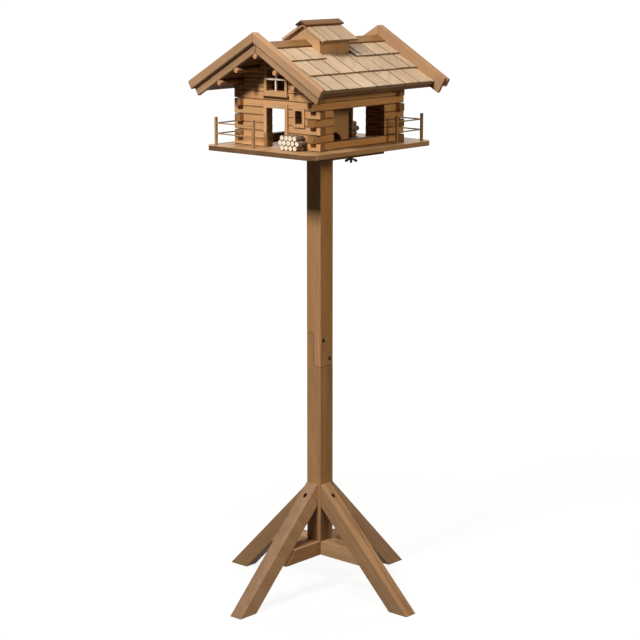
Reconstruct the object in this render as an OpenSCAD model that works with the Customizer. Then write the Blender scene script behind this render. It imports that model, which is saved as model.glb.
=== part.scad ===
// Log-cabin bird feeder with a feed silo, on a braced wooden post.
// +Z is up, the ridge runs along Y and the front gable faces -Y.
// The origin is on the floor, under the middle of the post.

/* [Post and legs] */
// Side of the square post
post_w = 45; // [40:1:60]
// Underside of the board on top of the post
post_top = 1094; // [900:1:1300]
// Lower end of the halved joint between the two post pieces
lap_z = 575; // [450:1:700]
// Length of the halved joint
lap_h = 82; // [60:1:120]
// Width of a leg
leg_w = 35; // [25:1:40]
// Depth of a leg, square to its slope
leg_d = 39; // [30:1:50]
// Distance from the post's axis to a foot's outer edge
foot_r = 300; // [260:1:360]
// Slope of the legs
leg_angle = 45; // [40:1:50]
// Underside of the cross bars
bar_z = 96; // [60:1:130]
// Height of the cross bars
bar_h = 34; // [20:1:45]

/* [Screws and wing bolts] */
// Radius of the counterbored screw holes
screw_r = 4.5; // [2:0.1:5]
// Depth of the counterbored screw holes
screw_depth = 7; // [4:0.5:10]
// Height of the legs' screws above the leg's inner corner at the post
leg_screw_up = 28; // [24:1:44]
// Distance of the joint's screws from its ends
lap_screw_in = 17; // [12:1:24]
// Distance of a wing bolt's middle from a side wall's inner face
bolt_in = 8; // [5:1:20]
// Radius of a wing bolt's shank
bolt_r = 3; // [2:0.5:4]
// Tip of a wing bolt below its board
bolt_out = 13; // [9:1:20]

/* [Boards] */
// Side of the square board on top of the post
head_w = 220; // [216:1:260]
// Thickness of that board
head_t = 16; // [10:1:25]
// Width of the floor board, along X
floor_w = 346; // [330:1:420]
// Length of the floor board, along Y
floor_l = 444; // [420:1:520]
// Thickness of the floor board
floor_t = 12; // [8:1:20]
// Cut across the floor board's corners
floor_cut = 18; // [5:1:30]

/* [Log walls] */
// Outside width of the log walls, along X
wall_w = 250; // [230:1:270]
// Outside length of the log walls, along Y
wall_l = 304; // [280:1:330]
// Thickness of a log
log_t = 18; // [14:1:22]
// Height of a log course
log_h = 18.4; // [14:0.1:20]
// Length that a log stands out past a corner
log_out = 12; // [6:1:18]
// Bevel along a log's edges
log_bevel = 1.6; // [0.8:0.1:2.5]
// Height of a board in the gables
gable_board_h = 10; // [8:0.5:14]
// Thickness of the gables
gable_t = 14; // [10:1:18]

/* [Doors and windows] */
// Width of a gable door
door_w = 58; // [48:1:70]
// Width of a side opening
side_w = 182; // [150:1:200]
// Width of the flat boards round a door
casing_w = 9; // [6:1:12]
// Thickness of those boards
casing_t = 4; // [2:0.5:6]
// Width of the small window's opening
small_w = 22; // [16:1:28]
// Height of the small window's opening
small_h = 31; // [24:1:34]
// Distance of the small window's middle from the free wall's middle beside the door
small_shift = 0.5; // [-4:0.5:4]
// Width of the gable window's opening
gable_win_w = 58; // [46:1:62]
// Height of the gable window's opening
gable_win_h = 50; // [40:1:54]
// Width of the window frames
frame_w = 7; // [5:0.5:9]
// Thickness of the window frames
frame_t = 4; // [2:0.5:6]
// Thickness of the gable window's sill
sill_t = 5; // [3:0.5:7]
// How far a sill stands out past its frame
sill_out = 5; // [2:0.5:8]

/* [Roof] */
// Slope of the roof and of the silo's lid
pitch = 30; // [26:1:34]
// Underside of the ridge above the floor board
ridge_up = 223.5; // [215:0.5:240]
// Thickness of the roof boards
roof_t = 11; // [8:1:15]
// Length of the roof boards down the slope
roof_s = 191; // [180:1:215]
// Thickness of a shingle
shingle_t = 5; // [3:0.5:7]
// Length of the roof over the outsides of its edge boards, along Y
roof_l = 464; // [400:1:520]
// Thickness of each of the two edge boards of a gable
barge_t = 9; // [6:1:12]
// Width of the inner edge board
barge_w = 42; // [34:1:50]
// Width of the outer edge board
barge_front_w = 22; // [18:1:30]
// Length of the inner edge board down the slope
barge_s = 218; // [195:1:235]
// Length that the outer edge board reaches past the inner one
barge_front_out = 4; // [1:1:15]
// Gap in the mitre between two edge boards
mitre_gap = 0.3; // [0.1:0.1:1]
// Length of the ridge cap down each slope
cap_s = 14; // [10:1:24]
// Thickness of the ridge cap
cap_t = 5; // [4:0.5:8]
// Radius of the round purlins
purlin_r = 6; // [4:0.5:7]
// Distance of the middle purlins from the ridge, along X
purlin_x = 61; // [58:1:66]
// Length that the purlins stop short of the roof's end
purlin_in = 8; // [2:1:20]

/* [Silo] */
// Outside width of the silo, along X
silo_w = 92; // [70:1:100]
// Outside length of the silo, along Y
silo_l = 104; // [80:1:120]
// Thickness of the silo's panels
silo_t = 9; // [6:1:12]
// Height of the lid's ridge, on its underside, above the roof's ridge
lid_up = 55.5; // [46:0.5:60]
// Thickness of the lid's boards
lid_t = 6.5; // [4:0.5:8]
// Length of the lid's boards down the slope
lid_s = 75; // [66:1:84]
// Length of the lid, along Y
lid_l = 124; // [114:1:136]
// Length of the lid's cap, along Y
lid_cap_l = 137; // [126:1:150]
// Length of the lid's cap down each slope
lid_cap_s = 14; // [10:1:20]
// Thickness of the lid's cap
lid_cap_t = 5.5; // [5:0.5:10]
// Radius of the feed arches in the silo's sides
arch_r = 27; // [20:1:30]

/* [Fence and firewood] */
// Distance of the fence's corner posts from the floor's side edges
fence_in_x = 20; // [8:1:26]
// Distance of the fence's corner posts from the floor's end edges
fence_in_y = 24; // [8:1:30]
// Distance of the end post on the gable side from the middle, along X
fence_end_x = 31; // [28:1:40]
// Distance of the end post on the eaves side from the middle, along Y
fence_end_y = 104; // [90:1:130]
// Height of the fence posts
fence_h = 66; // [50:1:80]
// Side of a fence post
fence_post_w = 6; // [4:0.5:8]
// Side of a fence rail
rail_w = 3; // [2:0.5:4]
// Heights of the rails above the floor board
rail_up = [25, 50]; // [10:1:60]
// Radius of a firewood log
wood_r = 6.6; // [5:0.1:8]
// Length of a firewood log
wood_len = 29; // [20:1:32]
// Distance of the firewood's middle from the side wall's inner face, along X
wood_in = 41; // [34:1:46]

/* [Fits] */
// Clearance between faces that seat on each other
seat = 0.2; // [0.1:0.05:0.4]
// Clearance between the lid and the silo
lid_gap = 0.3; // [0.2:0.05:0.5]
// Clearance round a bolt or a purlin in its hole
hole_gap = 0.3; // [0.2:0.05:0.5]

/* [Hidden] */
$fn = 48;
eps = 1;
half_post = post_w / 2;
// Legs: flush with one side of the post, so that the four of them form a pinwheel
leg_x0 = -half_post;
leg_x1 = -half_post + leg_w;
leg_run = leg_d / sin(leg_angle);
leg_slope = tan(leg_angle);
// Height of a leg's outer and inner faces at a distance r from the axis
function leg_top(r) = (foot_r - r) * leg_slope;
function leg_under(r) = (foot_r - leg_run - r) * leg_slope;
// Distance of a leg's inner face from the axis, at a height z
function leg_inner_r(z) = foot_r - leg_run - z / leg_slope;
bar_top = bar_z + bar_h;
leg_screw_z = leg_under(half_post) + leg_screw_up;

floor_z = post_top + head_t;
floor_top = floor_z + floor_t;
// Walls: even courses pass the corners in the gables, odd ones in the sides
wx = wall_w / 2;
wy = wall_l / 2;
inner_x = wx - log_t;
inner_y = wy - log_t;
bolt_x = inner_x - bolt_in;
fence_x = floor_w / 2 - fence_in_x;
fence_y = floor_l / 2 - fence_in_y;
door_courses = 5;
low_courses = 7;
function course_z(k) = floor_top + k * log_h;
wall_top = course_z(low_courses);
opening_top = course_z(door_courses);

// Roof: s runs down a slope from the ridge and n is square to it, from its underside
ridge_z = floor_top + ridge_up;
function slope_pt(s, n, apex) =
    [s * cos(pitch) + n * sin(pitch), apex - s * sin(pitch) + n * cos(pitch)];
// The s at which a line at n meets the upright plane x = x0
function mitre_s(n, x0) = (x0 - n * sin(pitch)) / cos(pitch);
function under_roof(x) = ridge_z - abs(x) * tan(pitch);
barge_y = roof_l / 2;
roof_y = barge_y - 2 * barge_t;
purlin_y = barge_y - purlin_in;
purlin_drop = (purlin_r + seat) / cos(pitch);
function purlin_z(x) = under_roof(x) - purlin_drop;
eave_purlin_x = wx - log_t / 2;
plate_top = purlin_z(eave_purlin_x) - purlin_r - seat;

sx = silo_w / 2;
sy = silo_l / 2;
lid_apex = ridge_z + lid_up;

// Windows
small_x = (door_w / 2 + casing_w + inner_x) / 2 + small_shift;
small_z = opening_top - log_bevel - small_h;
gable_sill_z = wall_top - sill_t;
gable_win_z = wall_top + frame_w / 2;
window_skin = wy + frame_t;

// Firewood: rows of four, five and four logs, glued where they touch
wood_x = inner_x - wood_in;
wood_lap = 0.1;
wood_pitch = 2 * (wood_r - wood_lap);
wood_rows = [4, 5, 4];
wood_y = wy + casing_t;

// ---- Helpers ----

// Extrudes a section drawn in X and Z from y0 to y1
module along_y(y0, y1) {
    translate([0, y1, 0]) rotate([90, 0, 0]) linear_extrude(y1 - y0) children();
}

// Extrudes a section drawn in Y and Z from x0 to x1
module along_x(x0, x1) {
    translate([x0, 0, 0]) rotate([90, 0, 90]) linear_extrude(x1 - x0) children();
}

// The house looks the same after half a turn about the post's axis
module half_turn() {
    rotate([0, 0, 180]) children();
}

// ---- Post, legs and boards ----

module post_section(z0, z1, x0 = -half_post) {
    translate([x0, -half_post, z0]) cube([half_post - x0, post_w, z1 - z0]);
}

// Counterbored holes for the joint's two screws, on the +X face
module lap_screw_holes() {
    spots = [[-post_w / 4, lap_z + lap_h - lap_screw_in], [post_w / 4, lap_z + lap_screw_in]];
    for (p = spots)
        translate([half_post - screw_depth, p[0], p[1]])
            rotate([0, 90, 0]) cylinder(h = screw_depth + eps, r = screw_r);
}

module post_lower() color("peru") difference() {
    post_section(bar_top, lap_z + lap_h);
    translate([0, -half_post - eps, lap_z])
        cube([half_post + eps, post_w + 2 * eps, lap_h + eps]);
}

module post_upper() color("peru") difference() {
    union() {
        post_section(lap_z, post_top, 0);
        post_section(lap_z + lap_h, post_top);
    }
    lap_screw_holes();
}

// A leg towards -Y: cut upright against the post and level at the ground
module leg() {
    difference() {
        along_x(leg_x0, leg_x1) polygon([
            [-half_post, leg_top(half_post)],
            [-foot_r, 0],
            [-foot_r + leg_run, 0],
            [-half_post, leg_under(half_post)]
        ]);
        translate([(leg_x0 + leg_x1) / 2, -leg_inner_r(leg_screw_z) - leg_run + screw_depth, leg_screw_z])
            rotate([90, 0, 0]) cylinder(h = post_w, r = screw_r);
    }
}

module leg_front() color("burlywood") leg();
module leg_right() color("burlywood") rotate([0, 0, 90]) leg();
module leg_back() color("burlywood") rotate([0, 0, 180]) leg();
module leg_left() color("burlywood") rotate([0, 0, 270]) leg();

// A bar between two opposite legs' inner faces, along Y
module cross_bar() {
    low = leg_inner_r(bar_z);
    high = leg_inner_r(bar_top);
    along_x(-half_post, half_post)
        polygon([[-low, bar_z], [low, bar_z], [high, bar_top], [-high, bar_top]]);
}

module cross_bar_notch(z0, z1) {
    translate([-half_post, -half_post, z0]) cube([post_w, post_w, z1 - z0]);
}

module cross_bar_x() color("peru") difference() {
    rotate([0, 0, 90]) cross_bar();
    cross_bar_notch(bar_z + bar_h / 2, bar_top + eps);
}

module cross_bar_y() color("peru") difference() {
    cross_bar();
    cross_bar_notch(bar_z - eps, bar_z + bar_h / 2);
}

module at_bolts() {
    for (side = [-1, 1]) translate([side * bolt_x, 0, 0]) children();
}

module bolt_holes() {
    at_bolts() translate([0, 0, post_top - eps])
        cylinder(h = head_t + floor_t + 2 * eps, r = bolt_r + hole_gap);
}

module head_board() color("saddlebrown") difference() {
    translate([-head_w / 2, -head_w / 2, post_top]) cube([head_w, head_w, head_t]);
    bolt_holes();
}

module floor_board() color("peru") difference() {
    hx = floor_w / 2;
    hy = floor_l / 2;
    cx = hx - floor_cut;
    cy = hy - floor_cut;
    translate([0, 0, floor_z]) linear_extrude(floor_t) polygon([
        [cx, -hy], [hx, -cy], [hx, cy], [cx, hy],
        [-cx, hy], [-hx, cy], [-hx, -cy], [-cx, -hy]
    ]);
    bolt_holes();
}

// A round-headed bolt through both boards, with a wing nut underneath
module wing_bolt() {
    head_r = 7;
    head_h = 3;
    hub_r = 5;
    hub_h = 6;
    wing_t = 2.5;
    wing_r = 3.5;
    wing_reach = 11.5;
    wing_turn = 45;
    translate([0, 0, post_top - bolt_out])
        cylinder(h = bolt_out + head_t + floor_t + head_h / 2, r = bolt_r);
    translate([0, 0, floor_top + seat]) cylinder(h = head_h, r1 = head_r, r2 = bolt_r);
    translate([0, 0, post_top - seat - hub_h]) cylinder(h = hub_h, r = hub_r);
    for (side = [-1, 1]) rotate([0, 0, wing_turn]) hull() {
        translate([side * hub_r / 2, wing_t / 2, post_top - hub_h / 2])
            rotate([90, 0, 0]) cylinder(h = wing_t, r = hub_h / 4);
        translate([side * wing_reach, wing_t / 2, post_top - hub_h - wing_r / 2])
            rotate([90, 0, 0]) cylinder(h = wing_t, r = wing_r);
    }
}

module wing_bolts() color("dimgray") at_bolts() wing_bolt();

// ---- Log walls ----

module log_section(h) {
    b = log_bevel;
    polygon([
        [b, 0], [log_t - b, 0], [log_t, b], [log_t, h - b],
        [log_t - b, h], [b, h], [0, h - b], [0, b]
    ]);
}

module log_x(x0, x1, k, h = log_h) {
    along_x(x0, x1) translate([-wy, course_z(k)]) log_section(h);
}

module log_y(y0, y1, k, h = log_h) {
    along_y(y0, y1) translate([inner_x, course_z(k)]) log_section(h);
}

function passes_gable(k) = k % 2 == 0;
// Far end of a gable log and of a side log in course k
function gable_end(k) = passes_gable(k) ? wx + log_out : inner_x;
function side_end(k) = passes_gable(k) ? inner_y : wy + log_out;

module gable_pier_left() {
    for (k = [0 : door_courses - 1]) log_x(-gable_end(k), -door_w / 2, k);
}

module gable_pier_right() difference() {
    for (k = [0 : door_courses - 1]) log_x(door_w / 2, gable_end(k), k);
    translate([small_x - small_w / 2, -wy - eps, small_z])
        cube([small_w, log_t + 2 * eps, small_h]);
}

module gable_lintel() {
    for (k = [door_courses : low_courses - 1]) log_x(-gable_end(k), gable_end(k), k);
}

// The boarded triangle over the logs, cut to the roof and notched for the purlins
module gable_panel() {
    y0 = -wy + (log_t - gable_t) / 2;
    base = wall_top;
    gx = inner_x - seat;
    boards = ceil((ridge_z - base) / gable_board_h);
    b = log_bevel / 2;
    difference() {
        intersection() {
            along_y(y0, y0 + gable_t) polygon([
                [-gx, base], [gx, base], [gx, under_roof(gx) - seat],
                [0, under_roof(0) - seat], [-gx, under_roof(gx) - seat]
            ]);
            for (i = [0 : boards - 1])
                along_x(-gx, gx) translate([y0, base + i * gable_board_h]) polygon([
                    [b, 0], [gable_t - b, 0], [gable_t, b], [gable_t, gable_board_h - b],
                    [gable_t - b, gable_board_h], [b, gable_board_h],
                    [0, gable_board_h - b], [0, b]
                ]);
        }
        translate([-gable_win_w / 2, y0 - eps, gable_win_z])
            cube([gable_win_w, gable_t + 2 * eps, gable_win_h]);
        for (x = [-purlin_x, 0, purlin_x]) translate([x, y0 - eps, purlin_z(x)]) {
            rotate([-90, 0, 0]) cylinder(h = gable_t + 2 * eps, r = purlin_r + hole_gap);
            translate([-purlin_r - hole_gap, 0, 0])
                cube([2 * (purlin_r + hole_gap), gable_t + 2 * eps, 4 * purlin_r]);
        }
    }
}

module front_wall_left() color("tan") gable_pier_left();
module front_wall_right() color("tan") gable_pier_right();
module front_wall_top() color("tan") gable_lintel();
module front_gable() color("burlywood") gable_panel();
// The back is the front after half a turn, so its left and right change places
module back_wall_right() color("tan") half_turn() gable_pier_left();
module back_wall_left() color("tan") half_turn() gable_pier_right();
module back_wall_top() color("tan") half_turn() gable_lintel();
module back_gable() color("burlywood") half_turn() gable_panel();

module side_sill() {
    log_y(-side_end(0), side_end(0), 0);
}

module side_pier_front() {
    for (k = [1 : door_courses - 1]) log_y(-side_end(k), -side_w / 2, k);
}

module side_pier_back() {
    for (k = [1 : door_courses - 1]) log_y(side_w / 2, side_end(k), k);
}

module side_top() {
    for (k = [door_courses : low_courses - 1]) log_y(-side_end(k), side_end(k), k);
    log_y(-side_end(low_courses), side_end(low_courses), low_courses, plate_top - wall_top);
}

module right_wall_sill() color("tan") side_sill();
module right_wall_front() color("tan") side_pier_front();
module right_wall_back() color("tan") side_pier_back();
module right_wall_top() color("tan") side_top();
module left_wall_sill() color("tan") half_turn() side_sill();
module left_wall_back() color("tan") half_turn() side_pier_front();
module left_wall_front() color("tan") half_turn() side_pier_back();
module left_wall_top() color("tan") half_turn() side_top();

// ---- Door casings and window frames ----

module door_casing() {
    hw = door_w / 2;
    translate([0, -wy - casing_t, 0]) {
        for (x = [-hw - casing_w, hw])
            translate([x, 0, floor_top]) cube([casing_w, casing_t, opening_top - floor_top]);
        translate([-hw - casing_w, 0, opening_top])
            cube([2 * (hw + casing_w), casing_t, casing_w + 2]);
    }
}

// A flat frame round an opening whose lower edge is at z0
module window_frame(w, h, x, z0) {
    translate([x, -window_skin, z0]) difference() {
        translate([-w / 2 - frame_w, 0, -frame_w])
            cube([w + 2 * frame_w, frame_t, h + 2 * frame_w]);
        translate([-w / 2, -eps, 0]) cube([w, frame_t + 2 * eps, h]);
    }
}

module sill(w, x, z) {
    reach = frame_t + sill_out;
    translate([x - w / 2 - frame_w - sill_out, -wy - reach, z])
        cube([w + 2 * (frame_w + sill_out), reach, sill_t]);
}

module window_frames() {
    window_frame(small_w, small_h, small_x, small_z);
    window_frame(gable_win_w, gable_win_h, 0, gable_win_z);
    sill(gable_win_w, 0, gable_win_z - frame_w - sill_t);
}

module front_door_casing() color("wheat") door_casing();
module back_door_casing() color("wheat") half_turn() door_casing();
module front_window_frames() color("wheat") window_frames();
module back_window_frames() color("wheat") half_turn() window_frames();

// ---- Silo ----

// An end panel of the silo, with a gabled top under the lid
module silo_end() {
    top = lid_apex - lid_gap / cos(pitch);
    shoulder = top - sx * tan(pitch);
    along_y(-sy, -sy + silo_t) polygon([
        [-sx, floor_top], [sx, floor_top], [sx, shoulder], [0, top], [-sx, shoulder]
    ]);
}

// A side panel, with an arch at its foot where the feed runs out
module silo_side() {
    shoulder = lid_apex - lid_gap / cos(pitch) - sx * tan(pitch);
    difference() {
        translate([sx - silo_t, -sy + silo_t, floor_top])
            cube([silo_t, silo_l - 2 * silo_t, shoulder - floor_top]);
        translate([sx - silo_t - eps, 0, floor_top]) rotate([0, 90, 0])
            cylinder(h = silo_t + 2 * eps, r = arch_r);
    }
}

module silo_front() color("burlywood") silo_end();
module silo_back() color("burlywood") half_turn() silo_end();
module silo_right() color("burlywood") silo_side();
module silo_left() color("burlywood") half_turn() silo_side();

// A sloping board in section: n0 to n1 thick, s1 long, mitred at the plane x = x0
module slope_section(x0, s1, n0, n1, apex) {
    polygon([
        slope_pt(mitre_s(n0, x0), n0, apex), slope_pt(s1, n0, apex),
        slope_pt(s1, n1, apex), slope_pt(mitre_s(n1, x0), n1, apex)
    ]);
}

module both_slopes() {
    children();
    mirror([1, 0, 0]) children();
}

module silo_lid() color("burlywood") both_slopes() {
    along_y(-lid_l / 2, lid_l / 2) slope_section(0, lid_s, 0, lid_t, lid_apex);
    along_y(-lid_cap_l / 2, lid_cap_l / 2)
        slope_section(0, lid_cap_s, lid_t / 2, lid_t + lid_cap_t, lid_apex);
}

// ---- Roof ----

module roof_slope() difference() {
    along_y(-roof_y, roof_y) slope_section(0, roof_s, 0, roof_t, ridge_z);
    translate([-sx, -sy - seat, floor_top])
        cube([2 * sx + seat, silo_l + 2 * seat, lid_apex - floor_top]);
}

module roof_right() color("wheat") roof_slope();
module roof_left() color("wheat") half_turn() roof_slope();

// The ridge caps lie on the shingles, between the silo and the edge boards
module ridge_caps() color("sienna") for (turn = [0, 180])
    rotate([0, 0, turn]) both_slopes() along_y(-roof_y, -sy)
        slope_section(0, cap_s, roof_t + shingle_t, roof_t + shingle_t + cap_t, ridge_z);

// One slope's doubled edge board: a wide inner board and a narrower one in front
module edge_board() {
    x0 = mitre_gap / 2;
    along_y(-barge_y + barge_t, -roof_y) slope_section(x0, barge_s, 0, barge_w, ridge_z);
    along_y(-barge_y, -barge_y + barge_t)
        slope_section(x0, barge_s + barge_front_out, barge_w - barge_front_w, barge_w, ridge_z);
}

module front_edge_boards() color("tan") both_slopes() edge_board();
module back_edge_boards() color("tan") half_turn() both_slopes() edge_board();

module purlin(x, y0, y1) {
    translate([x, y0, purlin_z(x)]) rotate([-90, 0, 0]) cylinder(h = y1 - y0, r = purlin_r);
}

// The ridge purlin stops at the silo, and the others run from end to end
module purlins() color("peru") {
    purlin(0, -purlin_y, -sy);
    purlin(0, sy, purlin_y);
    for (x = [-eave_purlin_x, -purlin_x, purlin_x, eave_purlin_x])
        purlin(x, -purlin_y, purlin_y);
}

// ---- Fence and firewood ----

module fence_post(x, y) {
    translate([x - fence_post_w / 2, y - fence_post_w / 2, floor_top])
        cube([fence_post_w, fence_post_w, fence_h]);
}

// The gable side's fence, from the corner post to its end post
module fence_gable_side() {
    fence_post(-fence_x, -fence_y);
    fence_post(-fence_end_x, -fence_y);
    for (up = rail_up)
        translate([-fence_x, -fence_y - rail_w / 2, floor_top + up])
            cube([fence_x - fence_end_x, rail_w, rail_w]);
}

// The eaves side's fence, from the corner post's face to its end post
module fence_eaves_side() {
    y0 = -fence_y + fence_post_w / 2;
    fence_post(-fence_x, -fence_end_y);
    for (up = rail_up)
        translate([-fence_x - rail_w / 2, y0, floor_top + up])
            cube([rail_w, -fence_end_y - y0, rail_w]);
}

module fence_front() color("tan") fence_gable_side();
module fence_left() color("tan") fence_eaves_side();
module fence_back() color("tan") half_turn() fence_gable_side();
module fence_right() color("tan") half_turn() fence_eaves_side();

module firewood() {
    rise = wood_pitch * sqrt(3) / 2;
    for (row = [0 : len(wood_rows) - 1], i = [0 : wood_rows[row] - 1])
        translate([
            wood_x + (i - (wood_rows[row] - 1) / 2) * wood_pitch,
            -wood_y,
            floor_top + wood_r + row * rise
        ]) rotate([90, 0, 0]) cylinder(h = wood_len, r = wood_r);
}

module front_firewood() color("ivory") firewood();
module back_firewood() color("ivory") half_turn() firewood();

// ---- Nodes ----

post_lower();
post_upper();
leg_front();
leg_right();
leg_back();
leg_left();
cross_bar_x();
cross_bar_y();
head_board();
wing_bolts();
floor_board();
front_wall_left();
front_wall_right();
front_wall_top();
front_gable();
back_wall_left();
back_wall_right();
back_wall_top();
back_gable();
left_wall_sill();
left_wall_front();
left_wall_back();
left_wall_top();
right_wall_sill();
right_wall_front();
right_wall_back();
right_wall_top();
front_door_casing();
back_door_casing();
front_window_frames();
back_window_frames();
silo_front();
silo_back();
silo_left();
silo_right();
silo_lid();
roof_left();
roof_right();
ridge_caps();
front_edge_boards();
back_edge_boards();
purlins();
fence_front();
fence_left();
fence_back();
fence_right();
front_firewood();
back_firewood();
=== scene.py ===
"""Looks of the log-cabin bird feeder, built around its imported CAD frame."""

import math
import random

import bmesh
import bpy
from mathutils import Matrix, Vector


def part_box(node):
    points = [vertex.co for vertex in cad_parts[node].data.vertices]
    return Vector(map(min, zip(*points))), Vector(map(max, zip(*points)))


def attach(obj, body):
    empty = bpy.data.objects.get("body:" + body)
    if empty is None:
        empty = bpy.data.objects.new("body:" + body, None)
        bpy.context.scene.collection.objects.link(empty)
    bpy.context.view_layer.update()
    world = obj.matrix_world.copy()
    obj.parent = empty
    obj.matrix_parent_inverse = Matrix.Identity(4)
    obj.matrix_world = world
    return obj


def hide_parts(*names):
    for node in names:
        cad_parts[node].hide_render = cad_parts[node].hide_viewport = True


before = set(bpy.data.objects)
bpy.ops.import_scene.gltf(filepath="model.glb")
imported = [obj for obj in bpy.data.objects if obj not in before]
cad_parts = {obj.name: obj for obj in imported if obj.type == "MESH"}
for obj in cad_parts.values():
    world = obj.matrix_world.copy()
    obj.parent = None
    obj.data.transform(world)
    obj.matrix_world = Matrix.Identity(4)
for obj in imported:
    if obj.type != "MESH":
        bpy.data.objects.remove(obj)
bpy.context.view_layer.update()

MM = 0.001
HOUSE = "house"
LID = "lid"
rng = random.Random(7)

# ---- Sizes read from the frame ----


def size(node):
    """Lowest corner, highest corner and extents of a CAD node at rest."""
    low, high = (Vector(corner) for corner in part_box(node))
    return low, high, high - low


POST_LOW, POST_HIGH = size("post_upper")[:2]
SILL_LOW, SILL_HIGH = size("right_wall_sill")[:2]
ROOF_LOW, ROOF_HIGH = size("roof_right")[:2]
LID_LOW, LID_HIGH = size("silo_lid")[:2]
LEG_LOW, LEG_HIGH = size("leg_front")[:2]
SILO_HIGH = size("silo_front")[1]
FLOOR_TOP = size("floor_board")[1].z
LAP_TOP = size("post_lower")[1].z

LOG_H = SILL_HIGH.z - SILL_LOW.z
LOG_T = SILL_HIGH.x - SILL_LOW.x
WALL_Y = SILL_HIGH.y + LOG_T
HALF_POST = POST_HIGH.x

# A thin air gap, so that no new face lies in a CAD face
SEAT = 0.1 * MM

# Screws: the post's are (y, z), and the legs' sit at LEG_MIDDLE, turned round the post
BORE_R = 4.75 * MM
JOINT_SCREWS = ((-HALF_POST / 2, POST_LOW.z + 65 * MM), (HALF_POST / 2, POST_LOW.z + 17 * MM))
LEG_SCREW_Z = 250.5 * MM
LEG_MIDDLE = (LEG_LOW.x + LEG_HIGH.x) / 2
LEG_HEAD_DEPTH = 5.3 * MM
POST_HEAD_DEPTH = 3.2 * MM

# ---- Roof geometry: s runs down a slope and n stands square to it ----

PITCH = math.radians(30)
ROOF_T = 11 * MM
RIDGE_Z = ROOF_HIGH.z - ROOF_T / math.cos(PITCH)


def slope_point(s, y, n, apex, side):
    """A point on the slope of the given side, +1 towards +X or -1 towards -X."""
    x = s * math.cos(PITCH) + n * math.sin(PITCH)
    z = apex - s * math.sin(PITCH) + n * math.cos(PITCH)
    return Vector((side * x, y, z))


# ---- Mesh helpers ----


def new_object(name, bm, material=None):
    """Turns a bmesh into a linked object with outward normals."""
    bmesh.ops.recalc_face_normals(bm, faces=bm.faces)
    mesh = bpy.data.meshes.new(name)
    bm.to_mesh(mesh)
    bm.free()
    obj = bpy.data.objects.new(name, mesh)
    bpy.context.scene.collection.objects.link(obj)
    if material:
        mesh.materials.append(material)
    return obj


def add_prism(bm, low_ring, high_ring, tint, layer):
    """Adds a closed prism between two rings of points, with one tint on all its corners."""
    verts = [bm.verts.new(p) for p in (*low_ring, *high_ring)]
    count = len(low_ring)
    faces = [bm.faces.new(verts[:count][::-1]), bm.faces.new(verts[count:])]
    for i in range(count):
        j = (i + 1) % count
        faces.append(bm.faces.new((verts[i], verts[j], verts[count + j], verts[count + i])))
    for face in faces:
        for loop in face.loops:
            loop[layer] = tint
    return faces


def random_tint():
    """Red: tone of the board. Green and blue: where its grain is cut from the trunk."""
    return (rng.random(), rng.random(), rng.random(), 1.0)


def finish_piece(obj, body, bevel=None, segments=2):
    """Rides a new piece on its body and softens its edges."""
    if bevel:
        soften(obj, bevel, segments)
    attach(obj, body)
    return obj


def soften(obj, width, segments=2, clamp=True):
    """Welds a mesh and bevels its sharp edges. Round screw holes need clamp off."""
    weld = obj.modifiers.new("weld", "WELD")
    weld.merge_threshold = 0.01 * MM
    bevel = obj.modifiers.new("bevel", "BEVEL")
    bevel.width = width
    bevel.segments = segments
    bevel.limit_method = "ANGLE"
    bevel.angle_limit = math.radians(35)
    bevel.use_clamp_overlap = clamp


# ---- Materials ----


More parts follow.
